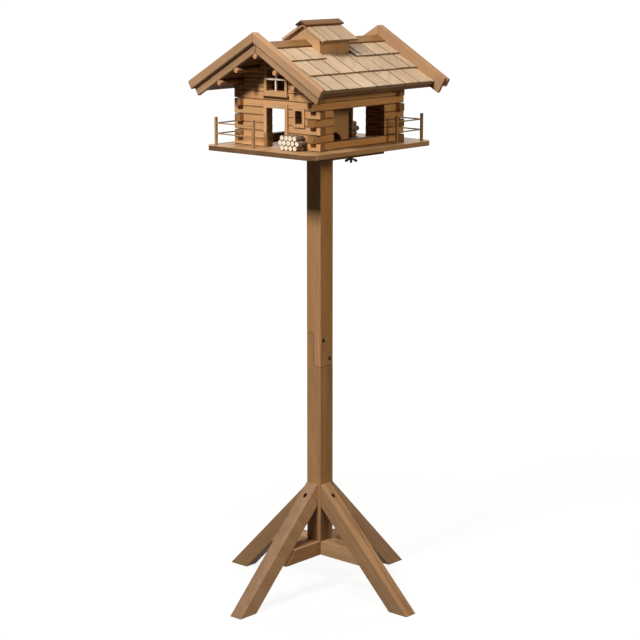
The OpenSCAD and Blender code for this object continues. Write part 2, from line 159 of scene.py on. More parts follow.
class Nodes:
    """Small helper for building a node tree."""

    def __init__(self, tree):
        self.tree = tree
        self.tree.nodes.clear()

    def link(self, source, target):
        self.tree.links.new(source, target)

    def add(self, kind, **settings):
        node = self.tree.nodes.new(kind)
        for key, value in settings.items():
            setattr(node, key, value)
        return node

    def put(self, socket, value):
        if isinstance(value, bpy.types.NodeSocket):
            self.link(value, socket)
        else:
            socket.default_value = value

    def math(self, operation, a, b=0.0, c=0.0, clamp=False):
        node = self.add("ShaderNodeMath", operation=operation, use_clamp=clamp)
        for socket, value in zip(node.inputs, (a, b, c)):
            self.put(socket, value)
        return node.outputs[0]

    def scaled(self, value, middle, factor, start):
        """start + (value - middle) * factor"""
        return self.math("MULTIPLY_ADD", self.math("SUBTRACT", value, middle), factor, start)

    def invert(self, value):
        return self.math("SUBTRACT", 1.0, value)

    def hypot(self, a, b):
        squares = self.math("ADD", self.math("MULTIPLY", a, a), self.math("MULTIPLY", b, b))
        return self.math("SQRT", squares)

    def dot(self, vector, direction):
        node = self.add("ShaderNodeVectorMath", operation="DOT_PRODUCT")
        self.put(node.inputs[0], vector)
        node.inputs[1].default_value = tuple(direction)
        return node.outputs["Value"]

    def combine(self, x, y, z):
        node = self.add("ShaderNodeCombineXYZ")
        for socket, value in zip(node.inputs, (x, y, z)):
            self.put(socket, value)
        return node.outputs[0]

    def split(self, vector):
        node = self.add("ShaderNodeSeparateXYZ")
        self.put(node.inputs[0], vector)
        return node.outputs

    def stretch(self, axes, *factors):
        return self.combine(*(self.math("MULTIPLY", axis, factor) for axis, factor in zip(axes, factors)))

    def place(self):
        """Where a point lies in its object, which is also its place in the frame at rest."""
        return self.add("ShaderNodeTexCoord").outputs["Object"]

    def noise(self, vector, scale, detail=3.0, roughness=0.55):
        node = self.add("ShaderNodeTexNoise")
        self.put(node.inputs["Vector"], vector)
        node.inputs["Scale"].default_value = scale
        node.inputs["Detail"].default_value = detail
        node.inputs["Roughness"].default_value = roughness
        return node.outputs["Fac"]

    def ramp(self, fac, stops):
        node = self.add("ShaderNodeValToRGB")
        elements = node.color_ramp.elements
        while len(elements) < len(stops):
            elements.new(0.5)
        for element, (position, value) in zip(elements, stops):
            element.position = position
            colour = value if isinstance(value, tuple) else (value, value, value)
            element.color = (*colour, 1.0)
        self.put(node.inputs[0], fac)
        return node.outputs["Color"]

    def mix(self, fac, a, b, blend="MIX"):
        node = self.add("ShaderNodeMix", data_type="RGBA", blend_type=blend)
        self.put(node.inputs[0], fac)
        for socket, value in ((node.inputs[6], a), (node.inputs[7], b)):
            self.put(socket, (*value, 1.0) if isinstance(value, tuple) else value)
        return node.outputs[2]

    def seen_directly(self):
        """One for what the camera sees, straight or through a glossy or clear surface."""
        path = self.add("ShaderNodeLightPath").outputs
        seen = self.math("MAXIMUM", path["Is Camera Ray"], path["Is Glossy Ray"])
        return self.math("MAXIMUM", seen, path["Is Transmission Ray"])

    def choose(self, fac, shader_a, shader_b):
        """Shader a where fac is zero and shader b where it is one."""
        node = self.add("ShaderNodeMixShader")
        self.link(fac, node.inputs[0])
        self.link(shader_a, node.inputs[1])
        self.link(shader_b, node.inputs[2])
        return node.outputs[0]


class Surface(Nodes):
    """A material with one principled shader."""

    def __init__(self, name):
        self.material = bpy.data.materials.new(name)
        self.material.use_nodes = True
        super().__init__(self.material.node_tree)
        self.out = self.add("ShaderNodeOutputMaterial")
        self.shader = self.add("ShaderNodeBsdfPrincipled")
        self.link(self.shader.outputs[0], self.out.inputs[0])

    def set(self, **inputs):
        """Sets inputs of the shader. An underscore stands for a space."""
        for name, value in inputs.items():
            self.put(self.shader.inputs[name.replace("_", " ")], value)

    def bump(self, height, strength, distance):
        node = self.add("ShaderNodeBump")
        node.inputs["Strength"].default_value = strength
        node.inputs["Distance"].default_value = distance
        self.put(node.inputs["Height"], height)
        self.link(node.outputs[0], self.shader.inputs["Normal"])


def shaded(colour, factor):
    return tuple(channel * factor for channel in colour)


def swap(nodes, mask, a, b):
    """a where the mask is one, and b where it is zero."""
    return nodes.math("ADD", nodes.math("MULTIPLY", a, mask),
                      nodes.math("MULTIPLY", b, nodes.invert(mask)))


def painted_bore_shade(nodes, across, z, centre, height):
    """One inside a screw's counterbore, where shade is painted, and nothing outside it."""
    reach = nodes.hypot(nodes.math("SUBTRACT", across, centre), nodes.math("SUBTRACT", z, height))
    return nodes.math("LESS_THAN", reach, BORE_R)


def line_mark(nodes, value, target):
    """One on a fine line at a value."""
    half_line = 0.6 * MM
    away = nodes.math("ABSOLUTE", nodes.math("SUBTRACT", value, target))
    return nodes.math("LESS_THAN", away, half_line)


def post_marks(nodes, place):
    """The halved joint's fine lines, and painted shade in the counterbores of its two screws."""
    x, y, z = nodes.split(place)
    left = nodes.math("LESS_THAN", x, 0.0)
    right = nodes.invert(left)
    in_lap = nodes.math("MULTIPLY", nodes.math("GREATER_THAN", z, POST_LOW.z),
                        nodes.math("LESS_THAN", z, LAP_TOP))
    top_line = nodes.math("MULTIPLY", line_mark(nodes, z, LAP_TOP), left)
    foot_line = nodes.math("MULTIPLY", line_mark(nodes, z, POST_LOW.z), right)
    upright = nodes.math("MULTIPLY", line_mark(nodes, x, 0.0), in_lap)
    lines = nodes.math("MAXIMUM", nodes.math("MAXIMUM", top_line, foot_line), upright)
    marks = nodes.math("MULTIPLY", lines, 0.6)
    for across, height in JOINT_SCREWS:
        bore = nodes.math("MULTIPLY", painted_bore_shade(nodes, y, z, across, height), right)
        marks = nodes.math("MAXIMUM", marks, bore)
    return marks


def leg_marks(nodes, place):
    """Painted shade in the counterbores of the leg screws, which go round the post like a pinwheel."""
    x, y, z = nodes.split(place)
    on_y_leg = nodes.math("GREATER_THAN", nodes.math("ABSOLUTE", y), nodes.math("ABSOLUTE", x))
    across_y_leg = nodes.math("MULTIPLY", x, nodes.math("SIGN", nodes.math("MULTIPLY", y, -1.0)))
    across_x_leg = nodes.math("MULTIPLY", y, nodes.math("SIGN", x))
    mark_y = painted_bore_shade(nodes, across_y_leg, z, LEG_MIDDLE, LEG_SCREW_Z)
    mark_x = painted_bore_shade(nodes, across_x_leg, z, LEG_MIDDLE, LEG_SCREW_Z)
    return swap(nodes, on_y_leg, mark_y, mark_x)


# Turns that bring a piece's grain onto the texture's X axis
GRAIN_TURNS = {
    "x": Matrix.Identity(3),
    "y": Matrix.Rotation(math.radians(-90), 3, "Z"),
    "z": Matrix.Rotation(math.radians(90), 3, "Y"),
    "slope": Matrix.Rotation(-PITCH, 3, "Y"),
    "leg_x": Matrix.Rotation(math.radians(-45), 3, "Y"),
}
GRAIN_TURNS["leg_y"] = GRAIN_TURNS["leg_x"] @ GRAIN_TURNS["y"]


def fold_slopes(nodes, place, normal):
    """Lays both slopes on the +X one, with a seed that tells them apart."""
    x, y, z = nodes.split(place)
    nx, ny, nz = nodes.split(normal)
    side = nodes.math("SIGN", x)
    place = nodes.combine(nodes.math("ABSOLUTE", x), y, z)
    normal = nodes.combine(nodes.math("MULTIPLY", nx, side), ny, nz)
    return place, normal, nodes.math("MULTIPLY", side, 0.37)


def grain_axes(nodes, place, turn, header):
    """How far a point lies along, across and into its board."""
    along, across, deep = (nodes.dot(place, row) for row in turn)
    if header:
        # The head of a casing lies across its jambs
        above = nodes.math("GREATER_THAN", nodes.split(place)[2], header)
        along, across = swap(nodes, above, across, along), swap(nodes, above, along, across)
    return along, across, deep


def board_count(nodes, place, boards):
    """Height in a stack of boards, counted in boards."""
    axis, start, pitch = boards
    height = nodes.split(place)["XYZ".index(axis)]
    return nodes.math("DIVIDE", nodes.math("SUBTRACT", height, start), pitch)


def board_cut(nodes, place, across, boards, tinted, slope_seed):
    """Tone of a board, and two numbers for where in the trunk it was cut."""
    if tinted:
        tint = nodes.add("ShaderNodeVertexColor", layer_name="tint")
        return nodes.split(tint.outputs["Color"])
    seed = nodes.math("MULTIPLY", nodes.math("SIGN", across), 0.31)
    if boards:
        seed = nodes.math("ADD", nodes.math("FLOOR", board_count(nodes, place, boards)), seed)
    seed = nodes.math("ADD", seed, slope_seed)
    white = nodes.add("ShaderNodeTexWhiteNoise", noise_dimensions="1D")
    nodes.put(white.inputs["W"], seed)
    return nodes.split(white.outputs["Color"])


def late_wood(nodes, axes, cut_a, cut_b, ring):
    """One in the dark lines of the year rings. The pith wanders, so they bend into arches."""
    across, deep = axes[1:]
    drift = nodes.noise(nodes.stretch(axes, 3.0, 9.0, 9.0), 1.0, 2.0)
    wander = nodes.math("MULTIPLY_ADD", drift, 0.05, -0.025)
    a = nodes.math("ADD", across, nodes.math("MULTIPLY_ADD", cut_a, 0.12, -0.06))
    a = nodes.math("ADD", a, wander)
    b = nodes.math("ADD", deep, nodes.math("MULTIPLY_ADD", cut_b, 0.05, 0.012))
    rings = nodes.math("FRACT", nodes.math("DIVIDE", nodes.hypot(a, b), ring))
    return nodes.ramp(rings, ((0.0, 0.15), (0.55, 0.3), (0.86, 1.0), (0.95, 0.85), (1.0, 0.15)))


def knot_spots(nodes, axes, share):
    """One in the middle of a knot. Share is the part of the cells that holds one."""
    cell = nodes.add("ShaderNodeTexVoronoi", feature="F1")
    nodes.put(cell.inputs["Vector"], nodes.stretch(axes, 6.0, 16.0, 16.0))
    cell.inputs["Scale"].default_value = 1.0
    keep = nodes.math("GREATER_THAN", nodes.split(cell.outputs["Color"])[0], 1.0 - share)
    spot = nodes.ramp(cell.outputs["Distance"], ((0.0, 1.0), (0.07, 0.85), (0.12, 0.35), (0.2, 0.0)))
    return nodes.math("MULTIPLY", spot, keep)


def painted_groove_shade(nodes, place, boards, streak):
    """One in the grooves between stacked boards, where shade is painted."""
    wide, narrow = 2.0 * MM / boards[2], 0.7 * MM / boards[2]
    edge = nodes.math("FRACT", board_count(nodes, place, boards))
    edge = nodes.math("ABSOLUTE", nodes.math("SUBTRACT", edge, 0.5))
    edge = nodes.scaled(streak, 0.5, 0.09, edge)
    return nodes.ramp(edge, ((0.0, 0.0), (0.5 - wide, 0.0), (0.5 - narrow, 0.8), (0.5, 1.0)))


def facing(nodes, normal, direction, limit):
    """One on the faces that look along a direction, either way."""
    return nodes.math("GREATER_THAN", nodes.math("ABSOLUTE", nodes.dot(normal, direction)), limit)


def wood(name, light, dark, grain, boards=None, tinted=False, mirrored=False, ring=3.2 * MM,
         contrast=0.55, knots=0.0, tone=0.22, end_shade=0.6, seam_shade=0.0, side_shade=0.0,
         flank_limit=1.0, header=None, marks=None):
    """Stained softwood as a solid texture: year rings about a pith that runs with the grain.

    boards is (axis, start, pitch) for stacked boards that each get their own cut.
    tinted takes the cut from the mesh's own colours.
    mirrored folds both roof slopes into one.
    The seam value paints shade into the grooves between stacked boards, and side_shade paints shade on
    the long edges in the gaps, the last only within flank_limit of the middle along Y. end_shade scales
    the end grain's colour: its own stain, and on the cross bars painted shade too.
    header is the height above which the grain lies crosswise.
    marks is a function that gives a dark pattern of its own: joint lines, and painted shade in screw
    counterbores.
    """
    nodes = Surface(name)
    turn = GRAIN_TURNS[grain]
    true_place = place = nodes.place()
    normal = nodes.add("ShaderNodeNewGeometry").outputs["Normal"]
    slope_seed = 0.0
    if mirrored:
        place, normal, slope_seed = fold_slopes(nodes, place, normal)
    along, across, deep = grain_axes(nodes, place, turn, header)
    board_tone, cut_a, cut_b = board_cut(nodes, place, across, boards, tinted, slope_seed)
    axes = (nodes.math("MULTIPLY_ADD", cut_b, 3.7, along), across, deep)
    late = late_wood(nodes, axes, cut_a, cut_b, ring)
    fibre = nodes.noise(nodes.stretch(axes, 9.0, 420.0, 420.0), 1.0, 4.0, 0.65)
    streak = nodes.noise(nodes.stretch(axes, 4.0, 60.0, 60.0), 1.0, 3.0, 0.6)
    blotch = nodes.noise(nodes.stretch(axes, 7.0, 24.0, 24.0), 1.0, 3.0, 0.6)
    figure = nodes.scaled(fibre, 0.5, 0.9, nodes.math("MULTIPLY", late, contrast))
    figure = nodes.math("MULTIPLY_ADD", nodes.math("SUBTRACT", streak, 0.5), 0.9, figure, clamp=True)
    colour = nodes.mix(figure, light, dark)
    # Each board takes the stain a little differently
    value = nodes.math("MULTIPLY_ADD", board_tone, tone, 1.0 - tone * 0.6)
    value = nodes.scaled(blotch, 0.5, 0.5, value)
    colour = nodes.mix(1.0, colour, nodes.combine(value, value, value), "MULTIPLY")
    redder = nodes.mix(1.0, colour, (1.06, 0.93, 0.84), "MULTIPLY")
    colour = nodes.mix(nodes.math("MULTIPLY", cut_a, 0.25), colour, redder)
    if knots:
        colour = nodes.mix(knot_spots(nodes, axes, knots), colour, shaded(dark, 0.32))
    # Joint lines, and painted shade in the screws' counterbores
    if marks:
        colour = nodes.mix(marks(nodes, true_place), colour, shaded(dark, 0.05))
    # Painted shade in the grooves between stacked boards
    if seam_shade:
        groove = nodes.math("MULTIPLY", painted_groove_shade(nodes, place, boards, streak), seam_shade)
        colour = nodes.mix(groove, colour, shaded(dark, 0.16))
    # End grain soaks up more stain; on the cross bars the darker cut ends are painted shade.
    end_stain_and_shade = nodes.mix(1.0, colour, (end_shade, end_shade * 0.94, end_shade * 0.88), "MULTIPLY")
    colour = nodes.mix(facing(nodes, normal, turn[0], 0.65), colour, end_stain_and_shade)
    if side_shade:
        # Painted shade on the long edges, down in the gaps between shingles
        inner = nodes.math("LESS_THAN", nodes.math("ABSOLUTE", nodes.split(place)[1]), flank_limit)
        flank = nodes.math("MULTIPLY", facing(nodes, normal, turn[1], 0.6), inner)
        colour = nodes.mix(flank, colour, shaded(light, side_shade))
    nodes.set(Base_Color=colour, Roughness=nodes.math("MULTIPLY_ADD", fibre, 0.25, 0.5),
              Specular_IOR_Level=0.12)
    relief = nodes.math("MULTIPLY_ADD", fibre, 0.6, nodes.math("MULTIPLY", late, 0.5))
    nodes.bump(relief, 0.35, 0.35 * MM)
    return nodes.material


def black_steel():
    """Blackened screws and wing nuts, a little grimy."""
    nodes = Surface("black_steel")
    grime = nodes.noise(nodes.place(), 900.0, 3.0)
    nodes.set(Base_Color=nodes.mix(grime, (0.006, 0.006, 0.006), (0.02, 0.018, 0.017)),
              Roughness=nodes.math("MULTIPLY_ADD", grime, 0.25, 0.4), Specular_IOR_Level=0.2)
    nodes.bump(grime, 0.2, 0.1 * MM)
    return nodes.material


def birch_end():
    """Pale sawn ends of the small birch logs, ringed about each log's own middle."""
    nodes = Surface("birch_end")
    across, up, tone = nodes.split(nodes.add("ShaderNodeVertexColor", layer_name="end").outputs["Color"])
    radius = nodes.hypot(nodes.math("SUBTRACT", across, 0.5), nodes.math("SUBTRACT", up, 0.5))
    mottle = nodes.noise(nodes.place(), 420.0, 3.0)
    rings = nodes.math("MULTIPLY_ADD", mottle, 0.05, radius)
    rings = nodes.math("SINE", nodes.math("MULTIPLY", rings, 90.0))
    rings = nodes.math("MULTIPLY_ADD", rings, 0.12, 0.25)
    colour = nodes.mix(rings, (0.80, 0.75, 0.62), (0.62, 0.48, 0.31))
    pith_and_rim = nodes.ramp(radius, ((0.0, 0.65), (0.06, 0.1), (0.36, 0.0), (0.47, 0.55)))
    colour = nodes.mix(pith_and_rim, colour, (0.52, 0.33, 0.17))
    colour = nodes.mix(nodes.math("MULTIPLY", tone, 0.22), colour, (0.70, 0.52, 0.33))
    nodes.set(Base_Color=colour, Roughness=0.75)
    nodes.bump(mottle, 0.3, 0.2 * MM)
    return nodes.material


def birch_bark():
    """Brown birch bark with pale patches, and dark flecks that go round the log."""
    nodes = Surface("birch_bark")
    axes = nodes.split(nodes.place())
    patch = nodes.noise(nodes.stretch(axes, 2.0, 1.0, 2.0), 90.0, 4.0, 0.6)
    fleck = nodes.noise(nodes.stretch(axes, 1.0, 5.0, 1.0), 330.0, 2.0)
    colour = nodes.ramp(patch, ((0.3, (0.035, 0.022, 0.015)), (0.52, (0.13, 0.085, 0.055)),
                                (0.66, (0.36, 0.29, 0.22)), (0.8, (0.6, 0.54, 0.45))))
    colour = nodes.mix(nodes.ramp(fleck, ((0.6, 0.0), (0.66, 0.8))), colour, (0.03, 0.02, 0.014))
    nodes.set(Base_Color=colour, Roughness=0.8)
    nodes.bump(patch, 0.6, 0.6 * MM)
    return nodes.material


# Stacked boards: axis, start and pitch
LOG_COURSES = ("Z", FLOOR_TOP, LOG_H)
GABLE_BOARDS = ("Z", FLOOR_TOP + 7 * LOG_H, 10 * MM)
FLOOR_BOARDS = ("X", -0.5, 86 * MM)
DOOR_HEAD = FLOOR_TOP + 5 * LOG_H

MATS = {
    "post": wood("post_wood", (0.50, 0.28, 0.128), (0.29, 0.145, 0.056), "z", knots=0.06,
                 ring=3.6 * MM, marks=post_marks),
    # The foot's wood is a darker copy of the post's: painted shade, as less light reaches low down
    "post_foot": wood("post_foot_wood", (0.43, 0.238, 0.11), (0.24, 0.122, 0.048), "z", knots=0.06,
                      marks=post_marks),
    "leg_x": wood("leg_wood_x", (0.42, 0.25, 0.13), (0.22, 0.115, 0.052), "leg_x", mirrored=True,
                  knots=0.05, contrast=0.75, marks=leg_marks),
    # The front and back legs take a lighter copy of the side legs' wood: painted light, as the front leg
    # is lit more brightly
    "leg_y": wood("leg_wood_y", (0.60, 0.40, 0.25), (0.35, 0.205, 0.115), "leg_y", knots=0.05,
                  marks=leg_marks),
    # The cross bars' low end_shade paints shade on their cut ends, where they meet the legs
    "bar_x": wood("bar_wood_x", (0.52, 0.32, 0.17), (0.28, 0.145, 0.06), "x", end_shade=0.3,
                  contrast=0.8),
    "bar_y": wood("bar_wood_y", (0.40, 0.235, 0.12), (0.23, 0.118, 0.05), "y", end_shade=0.3),
    "head": wood("head_wood", (0.26, 0.12, 0.045), (0.15, 0.065, 0.022), "y"),
    # The floor board's wood is made darker: painted shade, as its top lies partly in shadow
    "floor": wood("floor_wood", (0.37, 0.218, 0.108), (0.21, 0.112, 0.046), "y", FLOOR_BOARDS,
                  knots=0.05, end_shade=0.4),
    # The seam value paints shade into the grooves between the logs and between the gable boards
    "wall_x": wood("wall_wood_x", (0.66, 0.375, 0.175), (0.38, 0.185, 0.068), "x", LOG_COURSES,
                   knots=0.05, seam_shade=0.8, end_shade=0.42),
    "wall_y": wood("wall_wood_y", (0.60, 0.34, 0.15), (0.34, 0.165, 0.06), "y", LOG_COURSES,
                   knots=0.05, seam_shade=0.8, end_shade=0.55),
    "gable": wood("gable_wood", (0.66, 0.375, 0.175), (0.38, 0.185, 0.068), "x", GABLE_BOARDS,
                  seam_shade=0.8),
    "trim": wood("trim_wood", (0.66, 0.40, 0.20), (0.40, 0.21, 0.085), "z", header=DOOR_HEAD),
    # The roof boards are dark: painted shade in the gaps between shingles and under their tips
    "roof": wood("roof_board_wood", (0.17, 0.085, 0.035), (0.10, 0.045, 0.017), "y"),
    "edge": wood("edge_wood", (0.375, 0.225, 0.122), (0.235, 0.125, 0.058), "slope", mirrored=True,
                 knots=0.03, contrast=0.4),
    "cap": wood("cap_wood", (0.235, 0.125, 0.047), (0.14, 0.068, 0.023), "y"),
    "purlin": wood("purlin_wood", (0.46, 0.26, 0.14), (0.28, 0.14, 0.06), "y", end_shade=1.1),
    "fence": wood("fence_wood", (0.40, 0.25, 0.125), (0.24, 0.13, 0.055), "z"),
    "silo": wood("silo_wood", (0.47, 0.29, 0.155), (0.34, 0.195, 0.092), "z", contrast=0.35),
    # side_shade paints shade on the shingles' long edges, in the gaps between them
    "shingle": wood("shingle_wood", (0.465, 0.35, 0.245), (0.33, 0.225, 0.138), "slope",
                    tinted=True, mirrored=True, contrast=0.4, tone=0.16, ring=2.2 * MM,
                    side_shade=0.12),
    "lid_shingle": wood("lid_shingle_wood", (0.385, 0.28, 0.188), (0.26, 0.172, 0.10), "slope",
                        tinted=True, mirrored=True, contrast=0.4, tone=0.2, side_shade=0.12,
                        flank_limit=60 * MM),
    "lid_board": wood("lid_board_wood", (0.45, 0.30, 0.18), (0.30, 0.18, 0.095), "slope",
                      tinted=True, mirrored=True, contrast=0.4),
    "lid_cap": wood("lid_cap_wood", (0.155, 0.072, 0.025), (0.09, 0.038, 0.013), "y"),
    "window_bar": wood("window_bar_wood", (0.86, 0.76, 0.62), (0.66, 0.52, 0.36), "z",
                       contrast=0.3),
    "steel": black_steel(),
    "birch_end": birch_end(),
    "birch_bark": birch_bark(),
}

# ---- CAD nodes that keep their shape ----


def dress(names, material, bevel=0.6 * MM, segments=2, clamp=True):
    """Gives CAD nodes a material and softened edges."""
    for name in names:
        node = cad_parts[name]
        node.data.materials.clear()
        node.data.materials.append(MATS[material])
        soften(node, bevel, segments, clamp)


def dress_frame_nodes():
    """Every CAD node's material and bevel. The screws' round holes need clamp off."""
    dress(("post_upper",), "post", 1.1 * MM, clamp=False)
    dress(("post_lower",), "post_foot", 1.1 * MM, clamp=False)
    dress(("leg_left", "leg_right"), "leg_x", 1.0 * MM, clamp=False)
    dress(("leg_front", "leg_back"), "leg_y", 1.0 * MM, clamp=False)
    dress(("cross_bar_x",), "bar_x", 0.5 * MM)
    dress(("cross_bar_y",), "bar_y", 0.5 * MM)
    dress(("head_board",), "head", 1.2 * MM)
    dress(("floor_board",), "floor", 1.2 * MM)
    for end in ("front", "back"):
        dress([f"{end}_wall_{part}" for part in ("left", "right", "top")], "wall_x", 0.7 * MM)
        dress((f"{end}_gable",), "gable", 0.4 * MM)
        dress((f"{end}_door_casing", f"{end}_window_frames"), "trim", 0.6 * MM)
        dress((f"{end}_edge_boards",), "edge", 4.3 * MM, 5)
    for side in ("left", "right"):
        dress([f"{side}_wall_{part}" for part in ("sill", "front", "back", "top")], "wall_y", 0.7 * MM)
        dress((f"roof_{side}",), "roof", 0.8 * MM)
    dress(("ridge_caps",), "cap", 1.5 * MM, 3)
    dress(("purlins",), "purlin", 1.5 * MM, 3)
    dress(("fence_front", "fence_left", "fence_back", "fence_right"), "fence", 0.5 * MM)
    dress(("silo_front", "silo_back", "silo_left", "silo_right"), "silo", 0.6 * MM)
    dress(("wing_bolts",), "steel", 0.3 * MM)


# ---- Shingles ----

SHINGLE_T = 5 * MM
SHINGLE_W = 51.75 * MM
SHINGLE_LEN = 72 * MM
SHINGLE_GAP = 2.6 * MM
# Narrowest piece that is left at the end of a course
SHINGLE_MIN = 8 * MM
# Distance down the slope to the tips of the three courses
COURSE_TIPS = (68.5 * MM, 131.5 * MM, 194.5 * MM)
# The strip under the lowest course lifts it to the same angle as the others
STARTER_LEN = 38.5 * MM
STARTER_IN = 1.5 * MM
TOP_START = 2 * MM
ROOF_CLEAR = 0.4 * MM


def slope_board(bm, layer, side, apex, s0, s1, y0, y1, n0, n1, thick):
    """Adds a board on a slope. Its underside is at n0 at its upper end and n1 at its tip."""
    low = [slope_point(s, y0, n, apex, side) for s, n in
           ((s0, n0), (s1, n1), (s1, n1 + thick), (s0, n0 + thick))]
    high = [p + Vector((0, y1 - y0, 0)) for p in low]
    add_prism(bm, low, high, random_tint(), layer)


def seams(low, high, offset):
    """Edges of a course's shingles between two ends, with seams at offset plus whole widths."""
    edges = [low]
    y = offset + math.ceil((low - offset) / SHINGLE_W) * SHINGLE_W
    while y < high - SHINGLE_MIN:
        if y > low + SHINGLE_MIN:
            edges.append(y)
        y += SHINGLE_W
    return edges + [high]


def shingle(bm, layer, side, head, tip, y0, y1):
    """One shingle, whose tip rides on the course below."""
    base = ROOF_T + SEAT
    thick = SHINGLE_T - rng.uniform(0, 0.5) * MM
    slope_board(bm, layer, side, RIDGE_Z, head, tip, y0 + SHINGLE_GAP / 2, y1 - SHINGLE_GAP / 2,
                base, base + SHINGLE_T + SEAT, thick)


def whole_courses(bm, layer, side, silo_front, silo_back):
    """The two lower courses, whose seams don't line up. The upper one runs up to the silo."""
    # Where the slope meets the silo's side
    beside = (SILO_HIGH.x + ROOF_CLEAR - ROOF_T * math.sin(PITCH)) / math.cos(PITCH) + 0.3 * MM
    for course, offset in ((2, 0.0), (1, SHINGLE_W * 2 / 3)):
        edges = seams(ROOF_LOW.y + ROOF_CLEAR, ROOF_HIGH.y - ROOF_CLEAR, side * offset)
        for y0, y1 in zip(edges, edges[1:]):
            tip = COURSE_TIPS[course] + rng.uniform(-0.7, 0.7) * MM
            by_silo = course == 1 and y1 > silo_front and y0 < silo_back
            head = beside if by_silo else COURSE_TIPS[course] - SHINGLE_LEN
            shingle(bm, layer, side, head, tip, y0, y1)


def top_course(bm, layer, side, silo_front, silo_back):
    """The top course, which stops at the silo and starts again behind it."""
    y_low, y_high = ROOF_LOW.y + ROOF_CLEAR, ROOF_HIGH.y - ROOF_CLEAR
    for low, high, offset in ((y_low, silo_front, 0.0), (silo_back, y_high, 0.4 * SHINGLE_W)):
        if side < 0:
            low, high, offset = -high, -low, -offset
        edges = seams(low, high, offset)
        for y0, y1 in zip(edges, edges[1:]):
            shingle(bm, layer, side, TOP_START, COURSE_TIPS[0], y0, y1)


def shingle_slope(side):
    """One slope's three courses over a starter strip at the eaves, cut round the silo."""
    bm = bmesh.new()
    layer = bm.loops.layers.float_color.new("tint")
    silo_front = size("silo_front")[0].y - ROOF_CLEAR
    silo_back = size("silo_back")[1].y + ROOF_CLEAR
    base = ROOF_T + SEAT
    strip_tip = COURSE_TIPS[2] - STARTER_IN
    slope_board(bm, layer, side, RIDGE_Z, strip_tip - STARTER_LEN, strip_tip, ROOF_LOW.y + ROOF_CLEAR,
                ROOF_HIGH.y - ROOF_CLEAR, base, base, SHINGLE_T - 0.2 * MM)
    whole_courses(bm, layer, side, silo_front, silo_back)
    top_course(bm, layer, side, silo_front, silo_back)
    name = "shingles_right" if side > 0 else "shingles_left"
    obj = new_object(name, bm, MATS["shingle"])
    finish_piece(obj, HOUSE, 0.6 * MM)


# ---- Silo lid ----

LID_T = 6.5 * MM
LID_S = 75 * MM
LID_HALF_L = 62 * MM
LID_CAP_T = 5.5 * MM
LID_CAP_S = 14 * MM
LID_GAP = 1.6 * MM
# Seams between the three boards on the right slope
LID_SEAMS = (-48 * MM, 3 * MM)
# Each slope is a full board below and three shingles above
LID_UNDER = LID_T / 2
LID_APEX = LID_HIGH.z - (LID_T + LID_CAP_T) / math.cos(PITCH)


def lid_shingles():
    bm = bmesh.new()
    layer = bm.loops.layers.float_color.new("tint")
    edges = (-LID_HALF_L, *LID_SEAMS, LID_HALF_L)
    for side in (1, -1):
        for y0, y1 in zip(edges, edges[1:]):
            if side < 0:
                y0, y1 = -y1, -y0
            tip = LID_S - rng.uniform(0, 0.6) * MM
            thick = LID_T - LID_UNDER - rng.uniform(0, 0.3) * MM
            slope_board(bm, layer, side, LID_APEX, 0.5 * MM, tip, y0 + LID_GAP / 2, y1 - LID_GAP / 2,
                        LID_UNDER, LID_UNDER, thick)
    slopes = new_object("silo_lid_shingles", bm, MATS["lid_shingle"])
    finish_piece(slopes, LID, 0.5 * MM)
    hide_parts("silo_lid")


def lid_boards():
    bm = bmesh.new()
    layer = bm.loops.layers.float_color.new("tint")
    for side in (1, -1):
        slope_board(bm, layer, side, LID_APEX, 0.2 * MM, LID_S - 1 * MM, -LID_HALF_L, LID_HALF_L,
                    SEAT, SEAT, LID_UNDER)
    boards = new_object("silo_lid_boards", bm, MATS["lid_board"])
    finish_piece(boards, LID, 0.4 * MM)


def lid_cap():
    bm = bmesh.new()
    layer = bm.loops.layers.float_color.new("tint")
    top = LID_T + LID_CAP_T
    ring = [slope_point(LID_CAP_S, 0, LID_T, LID_APEX, 1), slope_point(LID_CAP_S, 0, top, LID_APEX, 1),
            Vector((0, 0, LID_APEX + top / math.cos(PITCH))),
            slope_point(LID_CAP_S, 0, top, LID_APEX, -1), slope_point(LID_CAP_S, 0, LID_T, LID_APEX, -1),
            Vector((0, 0, LID_APEX + LID_T / math.cos(PITCH)))]
    add_prism(bm, [p + Vector((0, LID_LOW.y, 0)) for p in ring],
              [p + Vector((0, LID_HIGH.y, 0)) for p in ring], random_tint(), layer)
    cap = new_object("silo_lid_cap", bm, MATS["lid_cap"])
    finish_piece(cap, LID, 2.2 * MM, 4)


# ---- Firewood ----

FIREWOOD_R = 6.45 * MM
# Half the space that each log takes in the stack
FIREWOOD_CELL = 6.6 * MM
FIREWOOD_ROWS = (4, 5, 4)
FIREWOOD_BEVEL = 0.8 * MM
FIREWOOD_SIDES = 20


